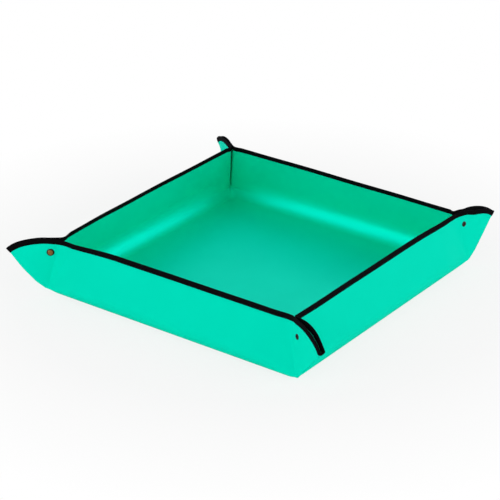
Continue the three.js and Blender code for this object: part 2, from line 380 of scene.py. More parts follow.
@dataclass(frozen=True)
class AgedBrass:
    """Pressed brass with an antique finish: warm metal, browned by lacquer, with fine handling marks."""

    name: str = "antique_brass"
    colours: tuple[str, str] = ("#96713F", "#5E4226")
    patch: float = 0.0022
    mark: float = 0.0005
    mark_depth: float = 0.00004
    roughness: Pair = (0.26, 0.46)

    def material(self) -> Material:
        """Builds the finish.

        Returns:
            The material.
        """
        material, tree, shader = new_material(self.name)
        place = add_node(tree, "TexCoord", {}, "Object")
        age, tint = add_patches(tree, place, self.patch, 4.0, self.colours)
        low, high = self.roughness
        marks = add_node(tree, "TexNoise", {"Vector": place, "Scale": 1 / self.mark, "Detail": 2.0})
        relief = {"Height": marks, "Strength": 0.15, "Distance": self.mark_depth}
        sockets = {
            "Base Color": tint,
            "Roughness": add_node(tree, "MapRange", {"Value": age, "To Min": low, "To Max": high}),
            "Normal": add_node(tree, "Bump", relief),
            "Metallic": 1.0,
        }
        feed(tree, shader, sockets)
        return material


# The same brass, painted nearly black as shade: round the cap's rolled rim, and over each eyelet, whose blind
# end stands in for the dark of its hole.
SHADED_BRASS = AgedBrass("burnished_dark_brass", colours=("#332B22", "#191511"))


@dataclass(frozen=True)
class FlatPattern:
    """The sheet's driving sizes, in metres, and what folding it gives."""

    sheet_side: float = 0.680
    corner_radius: float = 0.091
    cloth: float = 0.0005
    rim_side: float = 0.460
    wall_lean: float = math.radians(18)
    bend_radius: float = 0.026
    bend_taper: float = 0.070
    layer_pitch: float = 0.0036
    binding_width: float = 0.0085
    snap_down: float = 0.030
    snap_out: float = 0.008

    @property
    def wall_fold(self) -> float:
        """How far a wall is folded up from the floor."""
        return math.pi / 2 + self.wall_lean

    @property
    def bend_depth(self) -> float:
        """How far the soft bend's middle lies from the sharp corner that it rounds."""
        return self.bend_radius * (1 / math.cos(self.wall_fold / 2) - 1)

    @property
    def crease_inset(self) -> float:
        """How far in from the sharp corner the crease lies."""
        return self.bend_depth * math.sin(self.wall_fold / 2)

    @property
    def crease_rise(self) -> float:
        """How far above the floor the crease lies."""
        return self.bend_depth * math.cos(self.wall_fold / 2)

    @property
    def bend_start(self) -> float:
        """Where the floor starts to bend up, from the middle."""
        return self.sharp_half - self.bend_radius * math.tan(self.wall_fold / 2)

    @property
    def rim_half(self) -> float:
        """Half the rim's side."""
        return self.rim_side / 2

    @property
    def rim_height(self) -> float:
        """The rim's height for which floor, bend and wall use up half the sheet."""
        slope = math.tan(self.wall_lean)
        spare = self.sheet_side / 2 - self.rim_half + self.crease_inset
        pull = slope * (spare - self.crease_inset) - self.crease_rise
        return math.sqrt(pull**2 + spare**2 - self.crease_inset**2 - self.crease_rise**2) - pull

    @property
    def sharp_half(self) -> float:
        """Half the floor's side, to the corner that a sharp fold would have."""
        return self.rim_half + self.rim_height * math.tan(self.wall_lean)

    @property
    def crease_half(self) -> float:
        """Half the floor's side, to the crease."""
        return self.sharp_half - self.crease_inset

    @property
    def wall_depth(self) -> float:
        """A wall's depth from crease to edge."""
        return self.sheet_side / 2 - self.crease_half

    @property
    def wall_rise(self) -> float:
        """The angle of the line from crease to rim."""
        return math.atan2(self.rim_height - self.crease_rise, self.rim_half - self.crease_half)

    @property
    def wall_bow(self) -> float:
        """The angle between a wall's straight upper part and the line from crease to rim."""
        return self.wall_fold - self.wall_rise

    @property
    def pinch_run(self) -> float:
        """How far the pinch line leans in along a wall, from crease to rim."""
        return self.crease_half - self.rim_half

    @property
    def pinch_length(self) -> float:
        """The pinch line's length."""
        return math.hypot(self.pinch_run, self.wall_depth)

    def bow(self, depth: Array) -> Array:
        """How far a wall bows out from the line between crease and rim.

        Args:
            depth: Distances up that line from the crease.

        Returns:
            The bow at each: round in the bend, then straight to the edge.
        """
        rise = self.wall_rise
        out = self.bend_start - self.crease_half
        up = self.bend_radius - self.crease_rise
        centre = out * math.cos(rise) + up * math.sin(rise)
        offset = out * math.sin(rise) - up * math.cos(rise)
        bend_end = centre + self.bend_radius * math.sin(self.wall_bow)
        run = np.minimum(depth, bend_end) - centre
        round_part = offset + np.sqrt(self.bend_radius**2 - run**2)
        return round_part - math.tan(self.wall_bow) * np.maximum(depth - bend_end, 0.0)


@dataclass(frozen=True)
class EarShape:
    """How a corner's ear lies, in metres.

    Each pair is for the walls that meet there with their left and their right end: how softly they turn into
    the ear, and how far their rims and the bound edges of their layers hang down. The folded edge and the tip
    have droops of their own, and each bound edge stands off by the parting.
    """

    eases: Pair
    parting: float
    rim_droops: Pair = (0.0, 0.0)
    droops: Pair = (0.0, 0.0)
    fold_droop: float = 0.0
    tip_droop: float = 0.0


EAR_SHAPES = {
    "front_left": EarShape(
        eases=(0.019, 0.020),
        parting=0.0004,
        rim_droops=(0.0065, 0.0030),
        droops=(0.0046, 0.0046),
        fold_droop=0.0040,
        tip_droop=-0.0008,
    ),
    "front_right": EarShape(eases=(0.0043, 0.011), parting=0.0036),
    "back_right": EarShape(
        eases=(0.014, 0.0078),
        parting=0.0040,
        rim_droops=(0.0010, 0.0040),
        droops=(0.0056, 0.0088),
        fold_droop=0.0030,
        tip_droop=0.0022,
    ),
    "back_left": EarShape(
        eases=(0.012, 0.0095),
        parting=0.0015,
        droops=(0.0020, 0.0034),
        fold_droop=0.0010,
        tip_droop=0.0005,
    ),
}


@dataclass(frozen=True)
class EarFold:
    """One layer of a corner's ear: how far it folds, and how far its pinch line is set in."""

    WALL_SHARE = 0.7

    fold: float
    spread: float
    shape: EarShape

    @property
    def wall_lift(self) -> float:
        """The slope at which the wall leaves the pinch line."""
        return math.tan(self.fold * self.WALL_SHARE)

    @property
    def ear_lift(self) -> float:
        """The slope at which the ear leaves the pinch line."""
        return math.tan(self.fold * (1 - self.WALL_SHARE))


class FoldMotion:
    """How the mat opens: the bodies' places when it lies flat, and the folds that its joints undo."""

    LEAD = "front_side_fold"
    LYING_HEIGHT = 0.0040
    KEPT_RISE = 0.15

    def __init__(self, joints: Sequence[dict], couplings: Sequence[dict]) -> None:
        """Reads the joints.

        Args:
            joints: The frame's joints.
            couplings: The record's couplings, each to the leading fold.
        """
        self.joints = {j["child"]: j for j in joints}
        self.ratios = {c["joint"]: c["ratio"] for c in couplings}
        lead = next(j for j in joints if j["name"] == self.LEAD)
        self.opening = math.radians(lead["range_deg"][1])

    def fold_of(self, body: str) -> float:
        """How far a body turns on its joint as the mat opens flat."""
        return self.opening * self.ratios.get(self.joints[body]["name"], 1.0)

    def opened(self, body: str) -> Matrix:
        """A body's place when the mat lies open.

        Args:
            body: The body's name.

        Returns:
            Its 4x4 matrix, which is the identity for the floor.
        """
        if body not in self.joints:
            return Matrix.Identity(4)
        joint = self.joints[body]
        pivot = Matrix.Translation(Vector(joint["pos_m"]))
        turn = Matrix.Rotation(self.fold_of(body), 4, Vector(joint["axis"]))
        return self.opened(joint["parent"]) @ pivot @ turn @ pivot.inverted()

    def lay_flat(self, piece: Piece, body: str) -> None:
        """Rides a piece of wall or ear on its body, and gives it a mesh of its own.

        Args:
            piece: A cloth or binding piece.
            body: The body that it belongs to.
        """
        place = self.opened(body)
        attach(piece, body)
        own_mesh(piece)

    def settle_floor(self, piece: Piece, pattern: FlatPattern) -> None:
        """Rides the floor on its body, and gives it a mesh of its own.

        Args:
            piece: The floor's cloth.
            pattern: The flat pattern; not used.
        """
        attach(piece, "floor")
        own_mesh(piece)


class MeshParts:
    """Gathers vertices, faces, corner normals and flat coordinates for one mesh."""

    def __init__(self) -> None:
        """Starts with nothing."""
        self.points: list[Array] = []
        self.faces: list[tuple[int, ...]] = []
        self.normals: list[Array] = []
        self.flats: list[Array] = []
        self.slots: list[int] = []
        self.count = 0

    def add_points(self, points: Array) -> int:
        """Adds vertices.

        Args:
            points: Their places.

        Returns:
            The number of the first.
        """
        first = self.count
        self.points.append(points)
        self.count += len(points)
        return first

    def add_face(self, face: Sequence[int], normals: Array, flats: Array, slot: int = 0) -> None:
        """Adds a face.

        Args:
            face: The numbers of its corners.
            normals: A normal for each.
            flats: A flat coordinate for each.
            slot: Its material slot.
        """
        self.faces.append(tuple(face))
        self.normals.append(normals)
        self.flats.append(flats)
        self.slots.append(slot)

    def add_tube(self, points: Array, normals: Array, flats: Array, flipped: bool, slot: int = 0) -> None:
        """Adds a closed tube with flat ends.

        Args:
            points: Its rings of points.
            normals: The direction out of the tube at each.
            flats: The flat coordinate of each.
            flipped: Whether its faces run against the order of the rings.
            slot: Its material slot.
        """
        rows, size = points.shape[:2]
        number = self.add_points(points.reshape(-1, 3)) + np.arange(rows * size).reshape(rows, size)
        for i in range(rows - 1):
            for j in range(size):
                k = (j + 1) % size
                ring = [(i, j), (i, k), (i + 1, k), (i + 1, j)]
                where = tuple(np.array(ring[::-1] if flipped else ring).T)
                self.add_face(number[where], normals[where], flats[where], slot)
        for row, inner in ((0, 1), (-1, -2)):
            way = -1 if (row == 0) != flipped else 1
            facing = unit((points[row] - points[inner]).mean(axis=0))
            self.add_face(number[row, ::way], np.tile(facing, (size, 1)), flats[row, ::way], slot)

    def build(self, name: str, materials: Sequence[Material]) -> Piece:
        """Makes the mesh object.

        Args:
            name: The piece's name.
            materials: Its material slots.

        Returns:
            The object, at the origin.
        """
        mesh = bpy.data.meshes.new(name)
        mesh.from_pydata(np.concatenate(self.points).tolist(), [], self.faces)
        for material in materials:
            mesh.materials.append(material)
        mesh.polygons.foreach_set("material_index", self.slots)
        mesh.polygons.foreach_set("use_smooth", [True] * len(self.faces))
        layer = mesh.uv_layers.new(name=FLAT_MAP)
        layer.data.foreach_set("uv", np.concatenate(self.flats).ravel())
        mesh.normals_split_custom_set(np.concatenate(self.normals).tolist())
        mesh.validate()
        piece = bpy.data.objects.new(name, mesh)
        bpy.context.scene.collection.objects.link(piece)
        return piece


class ClothPanel:
    """A panel of the sheet: a map from its flat cut to the folded mat."""

    STEP = 2e-5

    def __init__(self, pattern: FlatPattern, handed: int) -> None:
        """Takes the pattern, and 1 if flat x and y make a right hand with the outside, else -1."""
        self.pattern = pattern
        self.handed = handed

    def surface(self, flat: Array) -> Array:
        """Where flat points lie on the folded mat."""
        raise NotImplementedError

    def on_sheet(self, flat: Array) -> Array:
        """Where flat points of this panel lie on the whole sheet."""
        raise NotImplementedError

    def grid(self) -> Array:
        """The flat points of the panel's mesh, as rows of columns."""
        raise NotImplementedError

    def normals(self, flat: Array) -> Array:
        """Finds which way the cloth's face looks.

        Args:
            flat: Points of the flat cut.

        Returns:
            The directions there from the cloth into the tray.
        """
        shift_x, shift_y = np.array([self.STEP, 0.0]), np.array([0.0, self.STEP])
        along = self.surface(flat + shift_x) - self.surface(flat - shift_x)
        across = self.surface(flat + shift_y) - self.surface(flat - shift_y)
        return unit(-self.handed * np.cross(along, across))

    def build(self, name: str, materials: Sequence[Material]) -> Piece:
        """Makes the panel's cloth as a closed sheet of its real thickness.

        Args:
            name: The piece's name.
            materials: The cloth's face, on the tray's inside, and its back.

        Returns:
            The object.
        """
        grid = self.grid()
        rows, columns = grid.shape[:2]
        flat = grid.reshape(-1, 2)
        middle, normal, sheet = self.surface(flat), self.normals(flat), self.on_sheet(flat)
        half = self.pattern.cloth / 2
        parts = MeshParts()
        inner = parts.add_points(middle + normal * half)
        outer = parts.add_points(middle - normal * half)
        number = np.arange(rows * columns).reshape(rows, columns)
        corners = [number[:-1, :-1], number[:-1, 1:], number[1:, 1:], number[1:, :-1]]
        quads = np.stack([c.ravel() for c in corners], axis=1)
        loop = np.concatenate([number[0, :-1], number[:-1, -1], number[-1, :0:-1], number[:0:-1, 0]])
        a, b, _, d = quads[len(quads) // 2]
        if np.dot(np.cross(middle[b] - middle[a], middle[d] - middle[a]), normal[a]) < 0:
            quads, loop = quads[:, ::-1], loop[::-1]
        for quad in quads:
            back = quad[::-1]
            parts.add_face(quad + inner, normal[quad], sheet[quad])
            parts.add_face(back + outer, -normal[back], sheet[back], slot=1)
        for a, b in zip(loop, np.roll(loop, -1)):
            side = unit(np.cross(middle[b] - middle[a], normal[a]))
            ring = [b + inner, a + inner, a + outer, b + outer]
            parts.add_face(ring, np.tile(side, (4, 1)), sheet[[b, a, a, b]], slot=1)
        return parts.build(name, materials)


class FloorPanel(ClothPanel):
    """The tray's floor, whose edge turns up into the walls' soft bend."""

    LINES = (0.0008, 1.08, 0.012)
    RIPPLE = 0.0007
    RIPPLE_FADE = 0.12
    # Each wave's lengths along x and y, and where it starts.
    WAVES = ((0.034, 0.061, 0.6), (-0.083, 0.041, 2.0))

    def __init__(self, pattern: FlatPattern) -> None:
        """Takes the flat pattern."""
        super().__init__(pattern, handed=-1)

    def edge_rise(self, distance: Array) -> Array:
        """The height of the upturned edge at distances from the floor's middle line."""
        run = np.clip(np.abs(distance) - self.pattern.bend_start, 0.0, self.pattern.bend_radius)
        return self.pattern.bend_radius - np.sqrt(self.pattern.bend_radius**2 - run**2)

    def surface(self, flat: Array) -> Array:
        """Folds flat points.

        Args:
            flat: Points of the flat cut.

        Returns:
            Where they lie on the folded mat.
        """
        x, y = flat.T
        rise_x, rise_y = self.edge_rise(x), self.edge_rise(y)
        height = rise_x + rise_y - rise_x * rise_y / self.pattern.crease_rise
        from_edge = self.pattern.crease_half - np.maximum(np.abs(x), np.abs(y))
        ripple = np.mean([np.sin(x / long + y / wide + start) for long, wide, start in self.WAVES], axis=0)
        height = height + self.RIPPLE * smooth(from_edge / self.RIPPLE_FADE) * (1.0 + ripple)
        return np.stack([x, y, self.pattern.cloth / 2 + height], axis=1)

    def on_sheet(self, flat: Array) -> Array:
        """Where flat points of this panel lie on the whole sheet."""
        return flat

    def grid(self) -> Array:
        """The flat points of the panel's mesh, as rows of columns."""
        lines = graded_both(self.pattern.crease_half, *self.LINES)
        return np.stack(np.meshgrid(lines, lines), axis=-1)


class RaisedPanel(ClothPanel):
    """A panel that stands up with a wall. Its flat points are distances along and up from the crease."""

    # The least share of its reach that a pinch's bend keeps at the crease.
    FOOT_SHARE = 0.06

    def __init__(self, pattern: FlatPattern, wall: Wall, handed: int) -> None:
        """Takes what every panel takes, and the wall that it stands on."""
        super().__init__(pattern, handed)
        self.wall = wall

    def stand(self, along: Array, depth: Array, inward: Array) -> Array:
        """Stands points of the wall's plane up in their place.

        Args:
            along: Distances along the crease from the wall's middle.
            depth: Distances up the wall.
            inward: Distances from the wall's plane into the tray.

        Returns:
            The points on the folded mat.
        """
        cosine, sine = math.cos(self.pattern.wall_rise), math.sin(self.pattern.wall_rise)
        y = -self.pattern.crease_half - depth * cosine + inward * sine
        z = self.pattern.crease_rise + self.pattern.cloth / 2 + depth * sine + inward * cosine
        return np.stack([along, y, z], axis=1) @ self.wall.turn.T

    def sheet_place(self, along: Array, depth: Array) -> Array:
        """Where points of the wall's plane lie on the whole sheet."""
        return np.stack([along, -self.pattern.crease_half - depth], axis=1) @ self.wall.turn[:2, :2].T

    @staticmethod
    def pinch_bend(distance: Array, lift: float, reach: Array) -> Array:
        """The rise of cloth that leaves a pinch line at the slope lift and is plane again at its reach."""
        inside = np.clip(distance, 0.0, reach)
        return lift * (inside * (1.0 - inside / reach) ** 2 + np.minimum(distance, 0.0))


class WallPanel(RaisedPanel):
    """A raised side between its two pinch lines."""

    COLUMNS = (0.0022, 1.10, 0.045)
    ROWS = (0.0012, 1.06, 0.005)
    STATIONS = (0.0018, 1.08, 0.02)
    LONGEST_BEND = 0.055
    HANG_REACH = 0.12
    RIPPLE = 0.0006
    LONG_WAVE = 0.061
    SHORT_WAVE = (0.027, 0.05)
    SHORT_SHARE = 0.7
    WALL_PHASE = 1.7
    # How fast the ripples grow up from the crease, and how much of them the bound rim takes away.
    RIPPLE_GROWTH = 1.6
    RIM_CALM = 0.4

    def __init__(self, pattern: FlatPattern, wall: Wall, folds: dict[End, EarFold]) -> None:
        """Takes the wall and the folds at its two ends."""
        super().__init__(pattern, wall, handed=1)
        self.folds = folds

    def end(self, depth: Array, end: End) -> Array:
        """How far the wall reaches from its middle towards an end, at depths."""
        lean = self.pattern.pinch_run * depth / self.pattern.wall_depth
        return self.pattern.crease_half - self.folds[end].spread - lean

    def reach(self, side: Array, depth: Array) -> Array:
        """How far the wall reaches to its left where side is negative, and else to its right."""
        return np.where(side < 0, self.end(depth, End.LEFT), self.end(depth, End.RIGHT))

    def surface(self, flat: Array) -> Array:
        """Folds flat points.

        Args:
            flat: Points of the flat cut.

        Returns:
            Where they lie on the folded mat.
        """
        x, depth = flat.T
        pattern = self.pattern
        share = np.abs(x) / self.reach(x, depth)
        inner = smooth((1.0 - share) * pattern.rim_half / pattern.bend_taper)
        inward = -pattern.bow(depth) * inner
        height = np.clip(depth / pattern.wall_depth, 0.0, 1.0)
        along, down = x, np.zeros_like(depth)
        for end, ear in self.folds.items():
            gap = (self.end(depth, end) - end.value * x) * pattern.wall_depth / pattern.pinch_length
            ease = min(end.of(ear.shape.eases) / ear.wall_lift, self.LONGEST_BEND)
            inward = inward + self.pinch_bend(
                gap, ear.wall_lift, ease * np.clip(height, self.FOOT_SHARE, 1.0)
            )
            hang = end.of(ear.shape.rim_droops) * height**2 * smooth(1.0 - gap / self.HANG_REACH)
            along = along + end.value * hang * pattern.pinch_run / pattern.pinch_length
            down = down + hang * pattern.wall_depth / pattern.pinch_length
        phase = self.WALL_PHASE * self.wall.value
        long, wide = self.SHORT_WAVE
        short_wave = self.SHORT_SHARE * np.sin(x / long + 2 * phase + depth / wide)
        ripple = self.RIPPLE * (np.sin(x / self.LONG_WAVE + phase) + short_wave) * inner
        inward = inward + ripple * smooth(height * self.RIPPLE_GROWTH) * (1 - self.RIM_CALM * height)
        return self.stand(along, depth - down, inward)

    def on_sheet(self, flat: Array) -> Array:
        """Where flat points of this panel lie on the whole sheet."""
        return self.sheet_place(flat[:, 0], flat[:, 1])

    def across(self, shares: Array, depth: float) -> Array:
        """Flat points at shares of the way to the wall's ends, at a depth."""
        depths = np.full_like(shares, depth)
        return np.stack([shares * self.reach(shares, depths), depths], axis=1)

    def grid(self) -> Array:
        """The flat points of the panel's mesh, as rows of columns."""
        shares = graded_both(1.0, *self.COLUMNS)
        return np.stack([self.across(shares, d) for d in graded(self.pattern.wall_depth, *self.ROWS)])

    def rim(self) -> tuple[Array, Array]:
        """Finds the binding's stations.

        Returns:
            Their places along the edge, and their directions in from it.
        """
        shares = graded_both(1.0, *self.STATIONS)
        lean = shares * self.pattern.pinch_run / self.pattern.wall_depth
        return self.across(shares, self.pattern.wall_depth), np.stack([lean, -np.ones_like(lean)], axis=1)

    def flat_size(self) -> Pair:
        """The length and depth of the flat cut."""
        return 2 * self.pattern.crease_half, self.pattern.wall_depth

    def flat_area(self) -> float:
        """The area of the panel's flat cut."""
        ends = sum(self.end(np.array([self.pattern.wall_depth / 2]), end)[0] for end in End)
        return ends * self.pattern.wall_depth


class EarPanel(RaisedPanel):
    """One layer of a corner's ear. Flat points are measured from the foot of its pinch line, outwards."""

    ROWS = (0.012, 1.08, 0.05)
    AT_PINCH = (0.0005, 1.06, 0.003)
    AT_CREASE = (0.00002, 1.5, 0.003)
    BEND_AT_SNAP = 0.0045
    SOFTNESS = 0.0055
    BEND_AT_EDGE = (0.006, 0.018)
    FREE_EDGE = 0.02
    CLOSING = 0.018
    CLOSING_GROWTH = 1.6
    CLOTH_TURN = 0.0004
    TAPE_TURN = 0.0011
    TAPE_FADE = 0.008
    TAPE_LAP = 0.0005
    PARTING_DEPTH = 0.022
    PARTED_TURN = 0.55
    DROOP_START = 0.022
    DROOP_DEPTH = 0.045
    DROOP_SLOPE = 0.22
    TIP_LENGTH = 0.05
    PROBE = 0.001
    TINY = 1e-9

    def __init__(self, pattern: FlatPattern, wall: Wall, end: End, ear: EarFold) -> None:
        """Works out the layer's flat cut.

        Args:
            pattern: The flat pattern.
            wall: The wall that the ear belongs to.
            end: The wall's end that it is at.
            ear: The fold there.
        """
        super().__init__(pattern, wall, handed=end.value)
        self.side = end
        self.ear = ear
        self.foot = pattern.crease_half - ear.spread
        length = pattern.pinch_length
        self.up = np.array([-pattern.pinch_run, pattern.wall_depth]) / length
        self.out = np.array([pattern.wall_depth, pattern.pinch_run]) / length
        self.crease_angle = math.atan2(1.0, math.cos(pattern.wall_bow))
        below = pattern.wall_depth - pattern.corner_radius
        self.centre = np.array([ear.spread + below * math.cos(pattern.wall_bow), below])
        self.straight = self.centre[0] + pattern.pinch_run
        self.edge_length = self.straight + pattern.corner_radius * (math.pi / 2 - self.crease_angle)

    def edge_distance(self, flat: Array) -> Array:
        """Measures from the bound edge.

        Args:
            flat: Points of the flat cut.

        Returns:
            How far in from the edge they lie.
        """
        ray = np.hypot(*(flat - self.centre).T)
        straight = self.pattern.wall_depth - flat[:, 1]
        return np.where(flat[:, 0] > self.centre[0], self.pattern.corner_radius - ray, straight)

    def crease_distance(self, flat: Array) -> Array:
        """How far flat points lie from the ear's crease."""
        across = np.array([-math.sin(self.crease_angle), math.cos(self.crease_angle)])
        return (flat - np.array([self.ear.spread, 0.0])) @ across

    def lean(self, flat: Array) -> Array:
        """Shapes the layer's bends.

        Args:
            flat: Points of the flat cut.

        Returns:
            How far they rise from the layer's plane towards the other layer.
        """
        pattern, shape = self.pattern, self.ear.shape
        up, out, gap = flat @ self.up, flat @ self.out, self.crease_distance(flat)
        at_edge = float(np.clip(self.SOFTNESS / self.ear.ear_lift, *self.BEND_AT_EDGE))
        free = smooth((up - pattern.pinch_length + self.FREE_EDGE) / self.FREE_EDGE)
        below = np.clip(up / (pattern.pinch_length - pattern.snap_down), self.FOOT_SHARE, 1.0)
        reach = (self.BEND_AT_SNAP + (at_edge - self.BEND_AT_SNAP) * free) * below
        bend = self.pinch_bend(out, self.ear.ear_lift, reach)
        inset = self.edge_distance(flat)
        taped = 1.0 - smooth((inset - pattern.binding_width) / self.TAPE_FADE)
        wide = self.TAPE_TURN + self.PARTED_TURN * shape.parting
        turn = self.CLOTH_TURN + (wide - self.CLOTH_TURN) * taped
        outside = np.clip(out, 0.0, None)
        share = outside / np.maximum(outside + np.clip(gap, 0.0, None), self.TINY)
        closing = (pattern.layer_pitch / 2 - turn) * smooth(1.0 - gap / self.CLOSING)
        closing = closing * smooth(share * self.CLOSING_GROWTH)
        parting = shape.parting * np.sin(math.pi * share) * smooth(1.0 - inset / self.PARTING_DEPTH)
        inside = np.clip(turn - gap, 0.0, turn)
        return bend + closing - parting + turn - np.sqrt(turn**2 - inside**2)

    def droop(self, flat: Array) -> Array:
        """Lets the layer hang, as its weave shears.

        Args:
            flat: Points of the flat cut.

        Returns:
            How far they hang down along the pinch line.
        """
        shape, out = self.ear.shape, flat @ self.out
        own = self.side.of(shape.droops)
        near_fold = smooth(1.0 - self.crease_distance(flat) / self.TIP_LENGTH)
        near_edge = smooth(1.0 - self.edge_distance(flat) / self.DROOP_DEPTH)
        start = max(own / self.DROOP_SLOPE, self.DROOP_START)
        from_pinch = smooth(out / self.DROOP_START)
        at_edge = (own + (shape.tip_droop - own) * near_fold) * smooth(out / start)
        at_fold = shape.fold_droop * from_pinch
        height = np.clip(flat @ self.up / self.pattern.pinch_length, 0.0, 1.0)
        at_pinch = self.side.of(shape.rim_droops) * height**2 * (1.0 - from_pinch)
        return at_pinch + at_fold + (at_edge - at_fold) * near_edge

    def place(self, up: Array, out: Array, rise: Array | float) -> Array:
        """Stands points of the layer up in their place.

        Args:
            up: Distances up the pinch line.
            out: Distances out from it along the layer.
            rise: Distances from the layer's plane towards the other layer.

        Returns:
            The points on the folded mat.
        """
        cosine, sine = math.cos(self.ear.fold), math.sin(self.ear.fold)
        flat = np.outer(up, self.up) + np.outer(out * cosine + rise * sine, self.out)
        return self.stand(
            self.side.value * (self.foot + flat[:, 0]), flat[:, 1], rise * cosine - out * sine
        )

    def surface(self, flat: Array) -> Array:
        """Where flat points lie on the folded mat."""
        return self.place(flat @ self.up - self.droop(flat), flat @ self.out, self.lean(flat))

    def on_sheet(self, flat: Array) -> Array:
        """Where flat points of this panel lie on the whole sheet."""
        return self.sheet_place(self.side.value * (self.foot + flat[:, 0]), flat[:, 1])

    def edge(self, places: Array) -> Array:
        """Follows the bound edge.

        Args:
            places: Lengths from the pinch line's top.

        Returns:
            The edge's flat points there.
        """
        angle = math.pi / 2 - np.maximum(places - self.straight, 0.0) / self.pattern.corner_radius
        arc = self.centre + self.pattern.corner_radius * np.stack([np.cos(angle), np.sin(angle)], axis=1)
        return arc - np.outer(np.maximum(self.straight - places, 0.0), [1.0, 0.0])

    def edge_places(self) -> Array:
        """Divides the bound edge.

        Returns:
            Lengths along it, close together at the pinch line and at the crease.
        """
        start = graded(self.edge_length * 0.5, *self.AT_PINCH)
        finish = self.edge_length - graded(self.edge_length * 0.5, *self.AT_CREASE)
        return np.concatenate([start, finish[::-1][1:]])

    def grid(self) -> Array:
        """Lays the mesh out between the foot and the bound edge.

        Returns:
            Its flat points, as rows of columns.
        """
        places = self.edge_places()
        edge = self.edge(places)
        foot = np.outer(places / self.edge_length, [self.ear.spread, 0.0])
        shares = 1.0 - graded(1.0, *self.ROWS)[::-1]
        return np.stack([foot + (edge - foot) * s for s in shares])

    def rim(self) -> tuple[Array, Array]:
        """Finds the binding's stations, the last a little past the crease.

        Returns:
            Their places along the edge, and their directions in from it.
        """
        places = np.append(self.edge_places(), self.edge_length + self.TAPE_LAP)
        edge = self.edge(places)
        before = np.clip(1.0 - places / self.straight, 0.0, 1.0)
        lean = before * self.pattern.pinch_run / self.pattern.wall_depth
        top = np.stack([lean, -np.ones_like(lean)], axis=1)
        return edge, np.where((places > self.straight)[:, None], -unit(edge - self.centre), top)

    def snap_place(self) -> Matrix:
        """Finds the snap's place on this layer.

        Returns:
            Its 4x4 matrix, whose Z axis points from the layer to the other one.
        """
        reach = self.pattern.snap_out + self.ear.spread * math.cos(self.ear.fold)
        flat = (self.pattern.pinch_length - self.pattern.snap_down) * self.up + reach * self.out
        here = np.array([flat, flat + self.up * self.PROBE])
        up, out = here @ self.up, here @ self.out
        base, raised = self.place(up, out, 0.0), self.place(up, out, self.PROBE)
        z_axis = Vector(unit(raised[0] - base[0]))
        y_axis = Vector(unit(base[1] - base[0]))
        place = Matrix((y_axis.cross(z_axis), y_axis, z_axis)).transposed().to_4x4()
        place.translation = Vector(base[0])
        return place

    def flat_size(self) -> Pair:
        """The width and length of the box around the flat cut."""
        edge = self.edge(self.edge_places())
        return float(np.ptp(np.append(edge[:, 0], 0.0))), float(edge[:, 1].max())

    def flat_area(self) -> float:
        """Measures the flat cut.

        Returns:
            Its area.
        """
        outline = np.concatenate([[[0.0, 0.0]], self.edge(self.edge_places()), [[self.ear.spread, 0.0]]])
        x, y = outline.T
        return 0.5 * abs(float(np.dot(x, np.roll(y, -1)) - np.dot(y, np.roll(x, -1))))


BoundPanel = WallPanel | EarPanel


